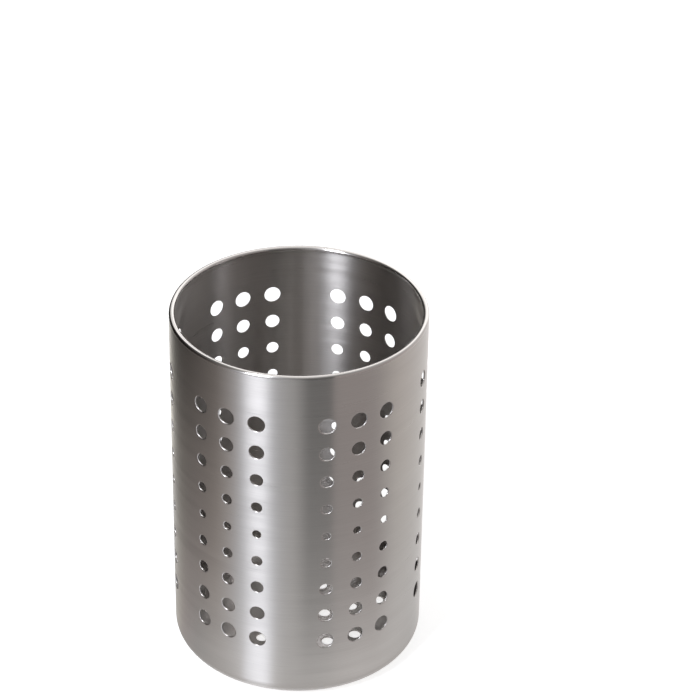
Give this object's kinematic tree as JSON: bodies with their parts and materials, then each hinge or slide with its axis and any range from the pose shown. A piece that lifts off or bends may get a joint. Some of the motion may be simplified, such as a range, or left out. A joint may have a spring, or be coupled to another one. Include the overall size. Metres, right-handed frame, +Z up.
{
  "type": "utensil crock",
  "caption": "Open brushed steel drum with a rolled rim, round holes in its wall and base and non-slip pads, for standing kitchen utensils upright to drain.",
  "frame": {"origin": "on the ground under the middle of the drum", "axes": "+Z up along the drum's axis to the open top; the front faces -Y, with a plain strip of wall between two groups of holes in the middle of it"},
  "size_m": [0.12, 0.12, 0.1812],
  "materials": {
    "brushed_stainless": "stainless steel, brushed round the drum to a fine satin",
    "pad_rubber": "soft moulded polyurethane, matte dark grey"
  },
  "bodies": {
    "root": {"wall_shell": "brushed_stainless", "base_pan": "brushed_stainless", "foot_pad_1": "pad_rubber", "foot_pad_2": "pad_rubber", "foot_pad_3": "pad_rubber", "foot_pad_4": "pad_rubber"}
  },
  "joints": []
}
